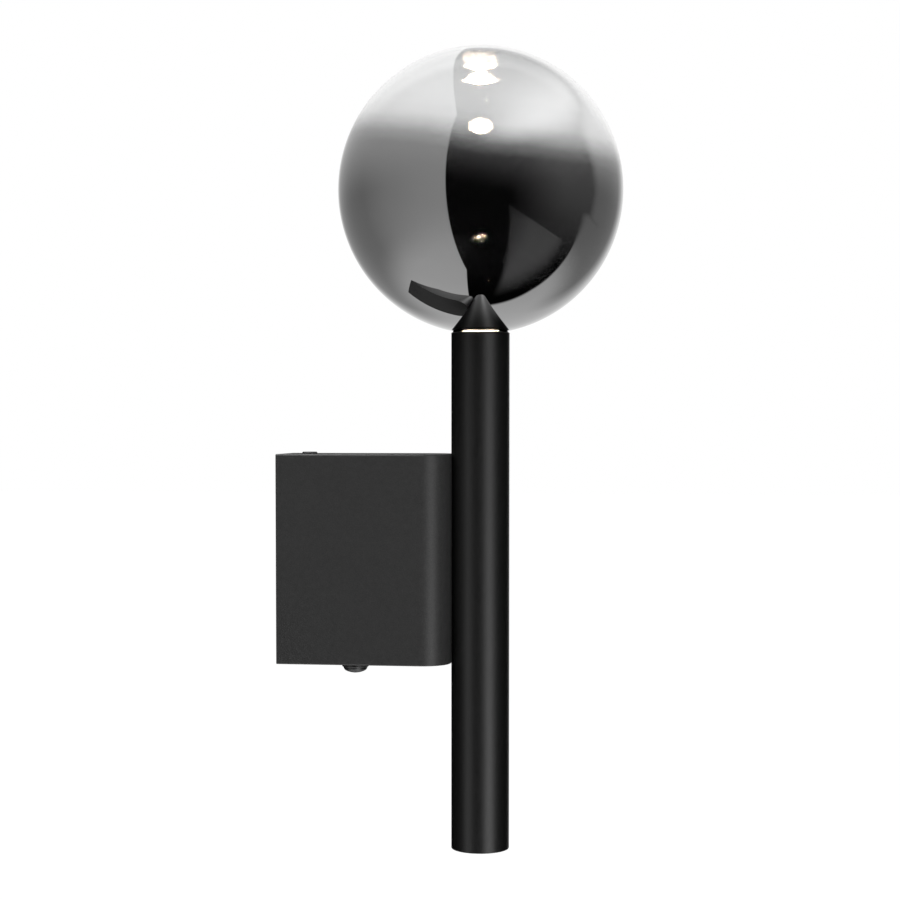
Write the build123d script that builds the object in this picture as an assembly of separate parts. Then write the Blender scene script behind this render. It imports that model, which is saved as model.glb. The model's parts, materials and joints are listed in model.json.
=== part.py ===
from build123d import *
import os
from math import radians, sqrt, tan

# Globe wall sconce: a mirrored glass globe on a slim upright tube, carried by a narrow wall box.
# Millimetres. +X points out of the wall and +Z up. The origin is on the wall, behind the middle of the box.

# ---- Wall box ----
box_height = 108.0
box_width = 44.0
box_depth = 89.0
box_wall = 2.0
box_corner_radius = 15.0
box_edge_radius = 1.0

# ---- Upright tube ----
tube_diameter = 30.0
tube_wall = 2.0
tube_length = 267.3
tube_drop = 150.9
tube_edge_break = 0.4
tube_box_gap = 0.05
tube_saddle_depth = 1.0
end_cap_height = 9.0
end_cap_wall = 1.6
end_cap_recess = 0.3

# ---- Globe ----
globe_diameter = 146.0
globe_wall = 2.0
globe_rim_gap = 0.96
neck_diameter = 24.6
neck_wall = 1.4
seal_foot = 2.0
seal_lip_diameter = 28.4

# ---- LED head, hung from the tube's rim ----
led_face_depth = 9.3
diffuser_diameter = 21.0
diffuser_height = 4.7
diffuser_top = 1.2
diffuser_skirt = 0.8
diffuser_edge_radius = 0.6
dome_diameter = 19.0
dome_height = 20.9
led_board_thickness = 1.2
led_board_margin = 0.3
emitter_diameter = 10.0
emitter_thickness = 0.8
board_screw_diameter = 2.0
board_screw_head_diameter = 3.8
board_screw_head_height = 1.1
board_screw_head_round = 0.4
board_screw_length = 5.0
board_screw_pitch = 14.0
heat_sink_length = 28.0
heat_sink_groove_depth = 2.4
heat_sink_groove_width = 2.0
heat_sink_groove_count = 3
heat_sink_groove_pitch = 4.0
heat_sink_pocket_diameter = 9.0
heat_sink_pocket_depth = 12.0
lead_hole_diameter = 2.6
lead_hole_pitch = 13.0
lead_end_gap = 0.4
grub_diameter = 4.0
grub_drop = 14.0
grub_bite = 1.4
grub_recess = 0.2
grub_socket_diameter = 2.0
grub_socket_depth = 1.5

# ---- Screws that hold the tube to the box ----
insert_length = 56.0
insert_thickness = 9.0
insert_bush_clearance = 0.5
tube_screw_spacing = 36.0
m4_diameter = 4.0
m4_hole_diameter = 4.4
m4_nut_flats = 7.0
m4_nut_height = 3.2
tube_screw_head_diameter = 7.0
tube_screw_head_height = 2.6
tube_screw_head_round = 1.0
tube_screw_reach = 8.0
tube_washer_diameter = 8.8
tube_washer_thickness = 0.8
bush_diameter = 8.0
bush_bore_diameter = 6.0
bush_flange_diameter = 12.0
bush_flange_thickness = 1.2
bush_length = 6.2

# ---- Wall bracket and its locking screw ----
bracket_thickness = 2.0
bracket_width = 36.0
bracket_gap = 0.3
bracket_corner_radius = 3.0
wall_slot_spacing = 60.0
wall_slot_length = 12.0
wall_slot_width = 4.6
lock_tab_width = 20.0
lock_tab_length = 20.0
lock_screw_x = 13.4
lock_head_diameter = 8.0
lock_head_height = 1.0
lock_head_round = 0.7
lock_screw_length = 10.0
lock_socket_flats = 2.5
lock_socket_depth = 0.7
tongue_width = 12.0
tongue_length = 15.0
bridge_thickness = 1.2
bridge_foot = 4.5
bridge_start_x = 6.0
bridge_depth = 10.0
grommet_height = 13.0
grommet_diameter = 12.0
grommet_bore_diameter = 8.0
grommet_flange_diameter = 16.0
grommet_flange_thickness = 1.8
grommet_snout = 2.0

# ---- Terminal block ----
terminal_width = 30.0
terminal_height = 16.0
terminal_depth = 14.0
terminal_edge_radius = 1.0
terminal_centre_height = -13.0
terminal_pitch = 9.0
terminal_bore_diameter = 4.0
terminal_bore_offset = 7.0
terminal_screw_diameter = 2.6
terminal_screw_rows = 9.0
terminal_screw_slot = 0.6
terminal_slot_depth = 0.8
terminal_head_sink = 1.0
terminal_insertion = 5.0
terminal_fix_diameter = 2.5
terminal_fix_head_diameter = 4.0
terminal_fix_head_height = 1.4

# ---- Push switch ----
button_x = 37.4
bezel_diameter = 14.0
bezel_drop = 3.2
bezel_floor = 0.6
bezel_edge_radius = 0.5
thread_diameter = 12.0
thread_length = 14.0
cap_diameter = 12.6
cap_clearance = 0.08
cap_rise = 1.9
cap_side = 2.1
cap_edge_radius = 2.4
cap_end_gap = 0.3
button_travel = 1.5
stem_diameter = 6.0
stem_clearance = 0.05
stem_past_bush = 2.0
clip_diameter = 8.4
clip_thickness = 0.8
clip_gap = 0.1
clip_groove_depth = 0.6
clip_mouth_share = 0.8
housing_diameter = 11.6
housing_wall = 1.0
housing_height = 14.0
housing_roof = 3.0
spring_mean_diameter = 4.4
spring_wire_diameter = 0.7
spring_turns = 5
switch_nut_flats = 14.0
switch_nut_height = 3.0
switch_washer_diameter = 16.0
switch_washer_thickness = 0.8
lug_spacing = 7.0
lug_thickness = 0.8
lug_width = 3.2
lug_height = 7.0

# ---- LED driver ----
driver_x = 48.0
driver_width = 30.0
driver_length = 50.0
driver_depth = 19.0
driver_top_clearance = 2.0
driver_wall = 1.2
driver_ear_length = 8.0
driver_ear_width = 15.0
driver_ear_thickness = 2.0
driver_lid_thickness = 1.2
stud_diameter = 3.0
stud_length = 6.0
stud_clearance = 0.2
stud_nut_flats = 5.5
stud_nut_height = 2.4
driver_board_thickness = 1.0
driver_board_margin = 0.4
driver_board_standoff = 2.4
driver_post_diameter = 4.0
driver_entry_diameter = 3.2
driver_terminal_height = 6.0
driver_terminal_margin = 1.0
driver_terminal_width = 22.0
driver_part_depth = 10.0
driver_part_gap = 1.0
transformer_size = 13.0
transformer_edge_radius = 1.0
capacitor_diameter = 8.0
capacitor_edge_radius = 0.5

# ---- Wires held inside ----
wire_diameter = 1.8
wire_end_gap = 0.1
wire_bend_share = 0.45
wire_entry_spacing = 4.0
bush_lead_spacing = 3.0
earth_stud_x = 24.0
earth_stud_height = -6.0
earth_lug_diameter = 8.0
earth_lug_thickness = 0.8
earth_barrel_diameter = 3.6
earth_barrel_length = 7.0
earth_barrel_lap = 1.0
earth_stud_end = 1.0
live_wire_drop = 12.0
live_wire_run = 11.0
live_wire_lead_in = 9.0
neutral_wire_drop = 10.0
neutral_wire_rise = 5.0
neutral_wire_bulge = 4.0
neutral_wire_start = 12.0
earth_wire_drop = 4.0
earth_wire_low_drop = 8.0
earth_wire_run = 5.0
lead_turn_depth = 12.0
lead_turn_run = 6.0
lead_driver_gap = 7.0
lead_tube_offset = 1.0
lead_fan_depth = 14.0

# ---- Fits ----
slip = 0.05
seat_gap = 0.1
cut_past = 1.0

# ---- Places that follow from the sizes above ----
box_top = box_height / 2
box_bottom = -box_height / 2
inner_top = box_top - box_wall
inner_bottom = box_bottom + box_wall
inner_side = box_width / 2 - box_wall
inner_front = box_depth - box_wall

tube_radius = tube_diameter / 2
bore_radius = tube_radius - tube_wall
tube_x = box_depth - tube_saddle_depth + tube_box_gap + tube_radius
tube_back = tube_x - tube_radius
tube_bottom = -tube_drop
tube_top = tube_bottom + tube_length

globe_radius = globe_diameter / 2
globe_z = tube_top + globe_rim_gap + sqrt(globe_radius**2 - tube_radius**2)
neck_radius = neck_diameter / 2
neck_bore_radius = neck_radius - neck_wall

led_face = tube_top - led_face_depth
sink_top = led_face - diffuser_height
sink_bottom = sink_top - heat_sink_length
sink_radius = bore_radius - slip
dome_radius = dome_diameter / 2
dome_top = led_face + dome_height
neck_bottom = sink_top + seal_foot + 2 * slip
neck_join = globe_z - globe_radius / 2
board_top = sink_top + led_board_thickness
board_radius = diffuser_diameter / 2 - diffuser_skirt - led_board_margin
grub_z = sink_top - grub_drop

tab_top = inner_top - bracket_gap
tab_underside = tab_top - bracket_thickness
tongue_bottom = inner_bottom + bracket_gap
tongue_top = tongue_bottom + bracket_thickness

terminal_front = bracket_thickness + terminal_depth
terminal_bore_x = bracket_thickness + terminal_bore_offset
terminal_bottom = terminal_centre_height - terminal_height / 2
terminal_top = terminal_centre_height + terminal_height / 2
terminal_fix_seat = terminal_front - terminal_head_sink - terminal_fix_head_height

bezel_face = box_bottom - bezel_drop
cup_floor = box_bottom - bezel_floor
thread_top = box_bottom + thread_length
cap_base = cup_floor - button_travel - cap_end_gap
cap_face = cap_base - cap_side - cap_rise
stem_top = thread_top + stem_past_bush
housing_top = thread_top + housing_height
spring_seat = housing_top - housing_roof
lug_middle = housing_top + lug_height / 2

driver_top = inner_top - driver_top_clearance - driver_ear_length
driver_foot_height = driver_top - driver_length
driver_face = inner_side - driver_depth
driver_back = inner_side - driver_wall
driver_low_x = driver_x - driver_width / 2
driver_high_x = driver_x + driver_width / 2
board_back = driver_back - driver_board_standoff
board_face = board_back - driver_board_thickness
driver_part_face = board_face - driver_part_depth
driver_wire_y = (board_face + driver_part_face) / 2
low_terminal = driver_foot_height + driver_wall + driver_terminal_margin
high_terminal = driver_top - driver_wall - driver_terminal_margin - driver_terminal_height
stud_heights = (driver_foot_height - driver_ear_length / 2, driver_top + driver_ear_length / 2)

wire_radius = wire_diameter / 2
earth_face = -inner_side + earth_lug_thickness
earth_barrel_y = -inner_side + earth_barrel_diameter / 2 + slip
earth_barrel_top = earth_stud_height - earth_lug_diameter / 2
earth_barrel_bottom = earth_barrel_top - earth_barrel_length


# ---- Shape helpers ----
def disc_z(radius, bottom, top, x=0.0, y=0.0):
    upright = Cylinder(radius, top - bottom, align=(Align.CENTER, Align.CENTER, Align.MIN))
    return Pos(x, y, bottom) * upright


def disc_x(radius, back, front, y=0.0, z=0.0):
    upright = Cylinder(radius, front - back, align=(Align.CENTER, Align.CENTER, Align.MIN))
    return Pos(back, y, z) * Rot(0, 90, 0) * upright


def disc_y(radius, low, high, x=0.0, z=0.0):
    upright = Cylinder(radius, high - low, align=(Align.CENTER, Align.CENTER, Align.MIN))
    return Pos(x, low, z) * Rot(-90, 0, 0) * upright


def block(low, high):
    size = [end - start for start, end in zip(low, high)]
    return Pos(*low) * Box(*size, align=(Align.MIN, Align.MIN, Align.MIN))


def hexagon(flats, height):
    return extrude(RegularPolygon(flats / 2, 6, major_radius=False), height)


def wire(points):
    """A bent wire: straight runs joined by arcs as large as the shorter run beside each corner allows."""
    corners = [Vector(*point) for point in points]
    radii = []
    for before, corner, after in zip(corners, corners[1:], corners[2:]):
        turn = (corner - before).get_angle(after - corner)
        shorter = min((corner - before).length, (after - corner).length)
        radii.append(wire_bend_share * shorter / tan(radians(turn) / 2))
    path = FilletPolyline(*corners, radius=radii)
    section = Plane(origin=path @ 0, z_dir=path % 0) * Circle(wire_radius)
    return sweep(section, path=path)


def save(name, shape):
    export_step(shape, f"parts/{name}.step")


# ---- Wall box ----
def rounded_column(depth, width, height, radius):
    """An upright block against the wall whose two front corners are rounded."""
    outline = Rectangle(depth, width, align=(Align.MIN, Align.CENTER))
    front_corners = outline.vertices().sort_by(Axis.X)[-2:]
    outline = fillet(front_corners, radius)
    return Pos(0, 0, -height / 2) * extrude(outline, height)


def wall_box():
    shell = rounded_column(box_depth, box_width, box_height, box_corner_radius)
    rim = shell.edges().group_by(Axis.Z)
    soft_edges = [edge for edge in rim[0] + rim[-1] if edge.center().X > slip]
    shell = fillet(soft_edges, box_edge_radius)
    inner_radius = box_corner_radius - box_wall
    shell -= rounded_column(inner_front, 2 * inner_side, 2 * inner_top, inner_radius)
    shell -= disc_z(tube_radius + tube_box_gap, box_bottom - cut_past, box_top + cut_past, tube_x)
    shell -= disc_z(m4_hole_diameter / 2, inner_top - cut_past, box_top + cut_past, lock_screw_x)
    shell -= disc_z(thread_diameter / 2 + slip, box_bottom - cut_past, inner_bottom + cut_past, button_x)
    for side in (-1, 1):
        height = side * tube_screw_spacing / 2
        shell -= disc_x(m4_hole_diameter / 2, inner_front - cut_past, box_depth + cut_past, 0, height)
    shell -= disc_x(bush_diameter / 2 + slip, inner_front - cut_past, box_depth + cut_past)
    for height in stud_heights:
        shell += disc_y(stud_diameter / 2, inner_side - stud_length, inner_side + slip, driver_x, height)
    shell += disc_y(m4_diameter / 2, -inner_side - slip, earth_face + m4_nut_height + earth_stud_end,
                    earth_stud_x, earth_stud_height)
    return shell


def hook_bridge():
    """A hat-shaped strap welded on the floor of the box: the bracket's tongue slides in under it."""
    slot_half = tongue_width / 2 + bracket_gap
    roof = tongue_top + bracket_gap
    end_x = bridge_start_x + bridge_depth
    outer_half = slot_half + bridge_thickness
    strap = block((bridge_start_x, -outer_half, inner_bottom), (end_x, outer_half, roof + bridge_thickness))
    strap -= block((0, -slot_half, inner_bottom - cut_past), (end_x + cut_past, slot_half, roof))
    for side in (-1, 1):
        start = side * (outer_half - slip)
        end = side * (outer_half + bridge_foot)
        low = (bridge_start_x, min(start, end), inner_bottom)
        high = (end_x, max(start, end), inner_bottom + bridge_thickness)
        strap += block(low, high)
    return strap


def lock_screw():
    base = Pos(lock_screw_x, 0, box_top) * Cylinder(
        lock_head_diameter / 2, lock_head_height, align=(Align.CENTER, Align.CENTER, Align.MIN))
    head = fillet(base.edges().group_by(Axis.Z)[-1], lock_head_round)
    socket = Pos(lock_screw_x, 0, box_top + lock_head_height - lock_socket_depth)
    head -= socket * hexagon(lock_socket_flats, lock_socket_depth + cut_past)
    shank = disc_z(m4_diameter / 2 - slip, box_top - lock_screw_length, box_top, lock_screw_x)
    return head + shank


# ---- Wall bracket ----
def wall_bracket():
    plate = Rectangle(2 * tab_top, bracket_width)
    plate = fillet(plate.vertices(), bracket_corner_radius)
    plate = Rot(0, 90, 0) * extrude(plate, bracket_thickness)
    tab_half = lock_tab_width / 2
    plate += block((0, -tab_half, tab_underside), (lock_tab_length, tab_half, tab_top))
    tongue_half = tongue_width / 2
    plate += block((0, -tongue_half, tongue_bottom), (tongue_length, tongue_half, tongue_top))
    slot = Rot(0, 90, 0) * Pos(0, 0, -cut_past) * extrude(
        SlotOverall(wall_slot_length, wall_slot_width), bracket_thickness + 2 * cut_past)
    for side in (-1, 1):
        plate -= Pos(0, 0, side * wall_slot_spacing / 2) * slot
    plate -= disc_x(grommet_diameter / 2 + slip, -cut_past, bracket_thickness + cut_past, 0, grommet_height)
    plate -= disc_x(terminal_fix_diameter / 2, -cut_past, bracket_thickness + cut_past,
                    terminal_pitch / 2, terminal_centre_height)
    plate -= disc_z(m4_hole_diameter / 2, tab_underside - cut_past, tab_top + cut_past, lock_screw_x)
    return plate


def lock_nut():
    nut = hexagon(m4_nut_flats, m4_nut_height)
    nut -= disc_z(m4_diameter / 2, -cut_past, m4_nut_height + cut_past)
    return Pos(lock_screw_x, 0, tab_underside - m4_nut_height) * nut


def cable_grommet():
    flange_front = bracket_thickness + grommet_flange_thickness
    snout_front = flange_front + grommet_snout
    body = disc_x(grommet_diameter / 2, slip, bracket_thickness, 0, grommet_height)
    body += disc_x(grommet_flange_diameter / 2, bracket_thickness, flange_front, 0, grommet_height)
    body += disc_x(grommet_diameter / 2, flange_front - slip, snout_front, 0, grommet_height)
    return body - disc_x(grommet_bore_diameter / 2, -cut_past, snout_front + cut_past, 0, grommet_height)


def terminal_poles():
    return [-terminal_pitch, 0.0, terminal_pitch]


def terminal_screw_places():
    rows = [terminal_centre_height + side * terminal_screw_rows / 2 for side in (-1, 1)]
    return [(pole, row) for pole in terminal_poles() for row in rows]


def terminal_block():
    half = terminal_width / 2
    low = (bracket_thickness, -half, terminal_bottom)
    body = block(low, (terminal_front, half, terminal_top))
    body = fillet(body.edges().filter_by(Axis.X), terminal_edge_radius)
    for pole in terminal_poles():
        body -= disc_z(terminal_bore_diameter / 2, terminal_bottom - cut_past, terminal_top + cut_past,
                       terminal_bore_x, pole)
    for pole, row in terminal_screw_places():
        body -= disc_x(terminal_screw_diameter / 2 + slip, terminal_bore_x, terminal_front + cut_past,
                       pole, row)
    between = terminal_pitch / 2
    body -= disc_x(terminal_fix_diameter / 2, 0, terminal_front, between, terminal_centre_height)
    body -= disc_x(terminal_fix_head_diameter / 2 + slip, terminal_fix_seat, terminal_front + cut_past,
                   between, terminal_centre_height)
    return body


def terminal_screws():
    """Six slotted clamp screws, each one just clear of the wire that it holds."""
    tip = terminal_bore_x + wire_radius + seat_gap
    end = terminal_front - terminal_head_sink
    screws = []
    for pole, row in terminal_screw_places():
        screw = disc_x(terminal_screw_diameter / 2, tip, end, pole, row)
        slot_low = (end - terminal_slot_depth, pole - terminal_screw_slot / 2, row - terminal_screw_diameter)
        slot_high = (end + cut_past, pole + terminal_screw_slot / 2, row + terminal_screw_diameter)
        screws.append(screw - block(slot_low, slot_high))
    return Compound(children=[screw.solids()[0] for screw in screws])


def terminal_fix_screw():
    between = terminal_pitch / 2
    head_front = terminal_fix_seat + terminal_fix_head_height
    head = disc_x(terminal_fix_head_diameter / 2, terminal_fix_seat, head_front,
                  between, terminal_centre_height)
    half = terminal_screw_slot / 2
    reach = terminal_fix_head_diameter
    slot_low = (head_front - terminal_slot_depth, between - half, terminal_centre_height - reach)
    slot_high = (terminal_front, between + half, terminal_centre_height + reach)
    head -= block(slot_low, slot_high)
    shank = disc_x(terminal_fix_diameter / 2 - slip, slip, terminal_fix_seat, between, terminal_centre_height)
    return head + shank


# ---- Upright tube ----
def main_tube():
    tube = disc_z(tube_radius, tube_bottom, tube_top, tube_x)
    tube -= disc_z(bore_radius, tube_bottom - cut_past, tube_top + cut_past, tube_x)
    ends = tube.edges().group_by(Axis.Z)
    rims = [edge for edge in ends[0] + ends[-1] if edge.radius > bore_radius + slip]
    tube = fillet(rims, tube_edge_break)
    for side in (-1, 1):
        height = side * tube_screw_spacing / 2
        tube -= disc_x(m4_hole_diameter / 2, tube_back - cut_past, tube_x, 0, height)
    tube -= disc_x(bush_diameter / 2 + slip, tube_back - cut_past, tube_x)
    tube -= disc_x(grub_diameter / 2, tube_back - cut_past, tube_x, 0, grub_z)
    return tube


def tube_end_cap():
    """A cup pushed into the foot of the tube, just inside its rim."""
    face = tube_bottom + end_cap_recess
    top = face + end_cap_height
    cap = disc_z(bore_radius - slip, face, top, tube_x)
    cap -= disc_z(bore_radius - slip - end_cap_wall, face + end_cap_wall, top + cut_past, tube_x)
    return chamfer(cap.edges().group_by(Axis.Z)[0], tube_edge_break)


def tube_insert():
    """A half-round bar inside the tube that the two tube screws pull against its back wall."""
    half = insert_length / 2
    bar = disc_z(bore_radius - slip, -half, half, tube_x)
    cut_x = tube_x - bore_radius + insert_thickness
    cut_half = half + cut_past
    bar -= block((cut_x, -bore_radius, -cut_half), (tube_x + bore_radius, bore_radius, cut_half))
    for side in (-1, 1):
        bar -= disc_x(m4_diameter / 2, tube_back, tube_x + bore_radius, 0, side * tube_screw_spacing / 2)
    return bar - disc_x(bush_diameter / 2 + insert_bush_clearance, tube_back, tube_x + bore_radius)


def tube_screws():
    washer_back = inner_front - tube_washer_thickness
    head_back = washer_back - tube_screw_head_height
    tip = tube_back + tube_wall + tube_screw_reach
    screws = []
    for side in (-1, 1):
        height = side * tube_screw_spacing / 2
        head = disc_x(tube_screw_head_diameter / 2, head_back, washer_back, 0, height)
        head = fillet(head.edges().group_by(Axis.X)[0], tube_screw_head_round)
        socket = hexagon(lock_socket_flats, lock_socket_depth + cut_past)
        socket = Pos(head_back - cut_past, 0, height) * Rot(0, 90, 0) * socket
        shank = disc_x(m4_diameter / 2 - slip, washer_back, tip, 0, height)
        screws.append(head - socket + shank)
    return Compound(children=[screw.solids()[0] for screw in screws])


def tube_washers():
    washer_back = inner_front - tube_washer_thickness
    washers = []
    for side in (-1, 1):
        height = side * tube_screw_spacing / 2
        ring = disc_x(tube_washer_diameter / 2, washer_back, inner_front, 0, height)
        ring -= disc_x(m4_hole_diameter / 2, washer_back - cut_past, inner_front + cut_past, 0, height)
        washers.append(ring)
    return Compound(children=[washer.solids()[0] for washer in washers])


def wire_bush():
    flange_back = inner_front - bush_flange_thickness
    end = flange_back + bush_length
    bush = disc_x(bush_flange_diameter / 2, flange_back, inner_front)
    bush += disc_x(bush_diameter / 2, inner_front - slip, end)
    return bush - disc_x(bush_bore_diameter / 2, flange_back - cut_past, end + cut_past)


# ---- LED head ----
def heat_sink():
    sink = disc_z(sink_radius, sink_bottom, sink_top, tube_x)
    for index in range(heat_sink_groove_count):
        low = sink_bottom + heat_sink_groove_width + index * heat_sink_groove_pitch
        ring = disc_z(sink_radius + cut_past, low, low + heat_sink_groove_width, tube_x)
        ring -= disc_z(sink_radius - heat_sink_groove_depth, low, low + heat_sink_groove_width, tube_x)
        sink -= ring
    pocket_roof = sink_bottom + heat_sink_pocket_depth
    sink -= disc_z(heat_sink_pocket_diameter / 2, sink_bottom - cut_past, pocket_roof, tube_x)
    top = sink_top + cut_past
    for side in (-1, 1):
        lead_y = side * lead_hole_pitch / 2
        sink -= disc_z(lead_hole_diameter / 2, sink_bottom - cut_past, top, tube_x, lead_y)
        screw_x = tube_x + side * board_screw_pitch / 2
        sink -= disc_z(board_screw_diameter / 2, board_top - board_screw_length - cut_past, top, screw_x)
    dimple_x = tube_x - sink_radius
    return sink - disc_x(grub_diameter / 2, dimple_x - cut_past, dimple_x + grub_bite, 0, grub_z)


def heat_sink_grub():
    back = tube_back + grub_recess
    tip = tube_x - sink_radius + grub_bite - slip
    grub = disc_x(grub_diameter / 2 - slip, back, tip, 0, grub_z)
    socket = hexagon(grub_socket_diameter, grub_socket_depth + cut_past)
    return grub - Pos(back - cut_past, 0, grub_z) * Rot(0, 90, 0) * socket


def led_board():
    board = disc_z(board_radius, sink_top, board_top, tube_x)
    low = sink_top - cut_past
    high = board_top + cut_past
    for side in (-1, 1):
        lead_y = side * lead_hole_pitch / 2
        board -= disc_z(lead_hole_diameter / 2, low, high, tube_x, lead_y)
        screw_x = tube_x + side * board_screw_pitch / 2
        board -= disc_z(board_screw_diameter / 2 + slip, low, high, screw_x)
    return board


def led_emitter():
    return disc_z(emitter_diameter / 2, board_top, board_top + emitter_thickness, tube_x)


def board_screws():
    screws = []
    for side in (-1, 1):
        x = tube_x + side * board_screw_pitch / 2
        head_top = board_top + board_screw_head_height
        head = disc_z(board_screw_head_diameter / 2, board_top, head_top, x)
        head = fillet(head.edges().group_by(Axis.Z)[-1], board_screw_head_round)
        shank = disc_z(board_screw_diameter / 2 - slip, board_top - board_screw_length, board_top, x)
        screws.append(head + shank)
    return Compound(children=[screw.solids()[0] for screw in screws])


def thimble(radius, base, top):
    """An upright rod on the tube's axis with a round upper end."""
    rod = disc_z(radius, base, top - radius, tube_x)
    end = Sphere(radius, arc_size1=0, align=(Align.CENTER, Align.CENTER, Align.MIN))
    return rod + Pos(tube_x, 0, top - radius) * end


def led_diffuser():
    """An opal cup that stands on the heat sink over the board, with a hollow dome up through the neck."""
    cup = disc_z(diffuser_diameter / 2, sink_top, led_face, tube_x)
    cup = fillet(cup.edges().group_by(Axis.Z)[-1], diffuser_edge_radius)
    cup += thimble(dome_radius, led_face - diffuser_top, dome_top)
    inner_radius = diffuser_diameter / 2 - diffuser_skirt
    cup -= disc_z(inner_radius, sink_top - cut_past, led_face - diffuser_top, tube_x)
    return cup - thimble(dome_radius - diffuser_top, led_face - diffuser_top - slip, dome_top - diffuser_top)


# ---- Globe ----
def globe_glass():
    """A blown globe with a short open neck that stands in the mouth of the tube."""
    centre = Pos(tube_x, 0, globe_z)
    glass = centre * Sphere(globe_radius)
    glass += disc_z(neck_radius, neck_bottom, neck_join, tube_x)
    glass -= centre * Sphere(globe_radius - globe_wall)
    return glass - disc_z(neck_bore_radius, neck_bottom - cut_past, neck_join, tube_x)


def globe_seal():
    """A clear sleeve round the neck, with a foot under it and a lip between the tube's rim and the globe."""
    seal = disc_z(bore_radius - slip, sink_top + slip, tube_top + slip, tube_x)
    seal += disc_z(seal_lip_diameter / 2, tube_top + slip, tube_top + tube_radius, tube_x)
    seal -= Pos(tube_x, 0, globe_z) * Sphere(globe_radius + slip)
    seal -= disc_z(neck_radius + slip, neck_bottom - slip, tube_top + tube_radius, tube_x)
    return seal - disc_z(neck_bore_radius, sink_top - cut_past, tube_top, tube_x)


# ---- Push switch ----
def button_bezel():
    bezel = disc_z(bezel_diameter / 2, bezel_face, box_bottom, button_x)
    bezel = fillet(bezel.edges().group_by(Axis.Z)[0], bezel_edge_radius)
    bezel += disc_z(thread_diameter / 2, box_bottom - slip, thread_top, button_x)
    bezel -= disc_z(cap_diameter / 2 + cap_clearance, bezel_face - cut_past, cup_floor, button_x)
    stem_bore_radius = stem_diameter / 2 + stem_clearance
    return bezel - disc_z(stem_bore_radius, cup_floor - cut_past, thread_top + cut_past, button_x)


def button_cap():
    """The domed button and its stem: the part a finger pushes."""
    radius = cap_diameter / 2
    dome_radius = (radius**2 + cap_rise**2) / (2 * cap_rise)
    dome = Pos(button_x, 0, cap_face + dome_radius) * Sphere(dome_radius)
    cap = dome & disc_z(radius, cap_face, cap_base, button_x)
    shoulder = cap.edges().filter_by(Plane.XY).sort_by(Axis.Z)[0]
    cap = fillet(shoulder, cap_edge_radius)
    cap += disc_z(stem_diameter / 2, cap_base - slip, stem_top, button_x)
    groove_low = thread_top + clip_gap
    groove = disc_z(stem_diameter, groove_low, groove_low + clip_thickness, button_x)
    groove -= disc_z(stem_diameter / 2 - clip_groove_depth, groove_low, groove_low + clip_thickness, button_x)
    return cap - groove


def stem_clip():
    """An open ring in the stem's groove: it stops the button against the bush's end."""
    low = thread_top + clip_gap
    high = low + clip_thickness
    core = stem_diameter / 2 - clip_groove_depth + slip
    ring = disc_z(clip_diameter / 2, low, high, button_x)
    ring -= disc_z(core, low - cut_past, high + cut_past, button_x)
    mouth = clip_mouth_share * core
    mouth_end = button_x + clip_diameter
    return ring - block((button_x, -mouth, low - cut_past), (mouth_end, mouth, high + cut_past))


def switch_housing():
    housing = disc_z(housing_diameter / 2, thread_top, housing_top, button_x)
    return housing - disc_z(housing_diameter / 2 - housing_wall, thread_top - cut_past, spring_seat, button_x)


def button_spring():
    low = stem_top + spring_wire_diameter / 2 + slip
    high = spring_seat - spring_wire_diameter / 2 - slip
    path = Helix((high - low) / spring_turns, high - low, spring_mean_diameter / 2)
    section = Plane(origin=path @ 0, z_dir=path % 0) * Circle(spring_wire_diameter / 2)
    return Pos(button_x, 0, low) * sweep(section, path=path, is_frenet=True)


def switch_washer():
    top = inner_bottom + switch_washer_thickness
    ring = disc_z(switch_washer_diameter / 2, inner_bottom, top, button_x)
    return ring - disc_z(thread_diameter / 2 + slip, inner_bottom - cut_past, top + cut_past, button_x)


def switch_nut():
    nut = hexagon(switch_nut_flats, switch_nut_height)
    nut -= disc_z(thread_diameter / 2 + slip, -cut_past, switch_nut_height + cut_past)
    return Pos(button_x, 0, inner_bottom + switch_washer_thickness) * nut


def switch_lugs():
    lugs = []
    for side in (-1, 1):
        x = button_x + side * lug_spacing / 2
        low = (x - lug_thickness / 2, -lug_width / 2, housing_top)
        high = (x + lug_thickness / 2, lug_width / 2, housing_top + lug_height)
        lugs.append(block(low, high))
    return Compound(children=[lug.solids()[0] for lug in lugs])


# ---- LED driver ----
def driver_wire_entries():
    spread = driver_terminal_width / 4
    return [driver_x - spread, driver_x + spread]


def driver_wire_exits():
    return [driver_wire_y - wire_entry_spacing / 2, driver_wire_y + wire_entry_spacing / 2]


def driver_housing():
    lid_seat = driver_face + driver_lid_thickness
    low = (driver_low_x, lid_seat, driver_foot_height)
    shell = block(low, (driver_high_x, inner_side, driver_top))
    inside_low = (driver_low_x + driver_wall, lid_seat - cut_past, driver_foot_height + driver_wall)
    inside_high = (driver_high_x - driver_wall, driver_back, driver_top - driver_wall)
    shell -= block(inside_low, inside_high)
    ear_half = driver_ear_width / 2
    ear_face = inner_side - driver_ear_thickness
    ends = ((driver_foot_height - driver_ear_length, driver_foot_height),
            (driver_top, driver_top + driver_ear_length))
    for start, end in ends:
        shell += block((driver_x - ear_half, ear_face, start), (driver_x + ear_half, inner_side, end))
    for height in stud_heights:
        shell -= disc_y(stud_diameter / 2 + stud_clearance, ear_face - cut_past, inner_side + cut_past,
                        driver_x, height)
    for x in driver_wire_entries():
        shell -= disc_z(driver_entry_diameter / 2, driver_foot_height - cut_past,
                        driver_foot_height + driver_wall + slip, x, driver_wire_y)
    for y in driver_wire_exits():
        shell -= disc_z(driver_entry_diameter / 2, driver_top - driver_wall - slip,
                        driver_top + cut_past, driver_x, y)
    for height in driver_post_heights():
        shell += disc_y(driver_post_diameter / 2, board_back, driver_back + slip, driver_x, height)
    return shell


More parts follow.
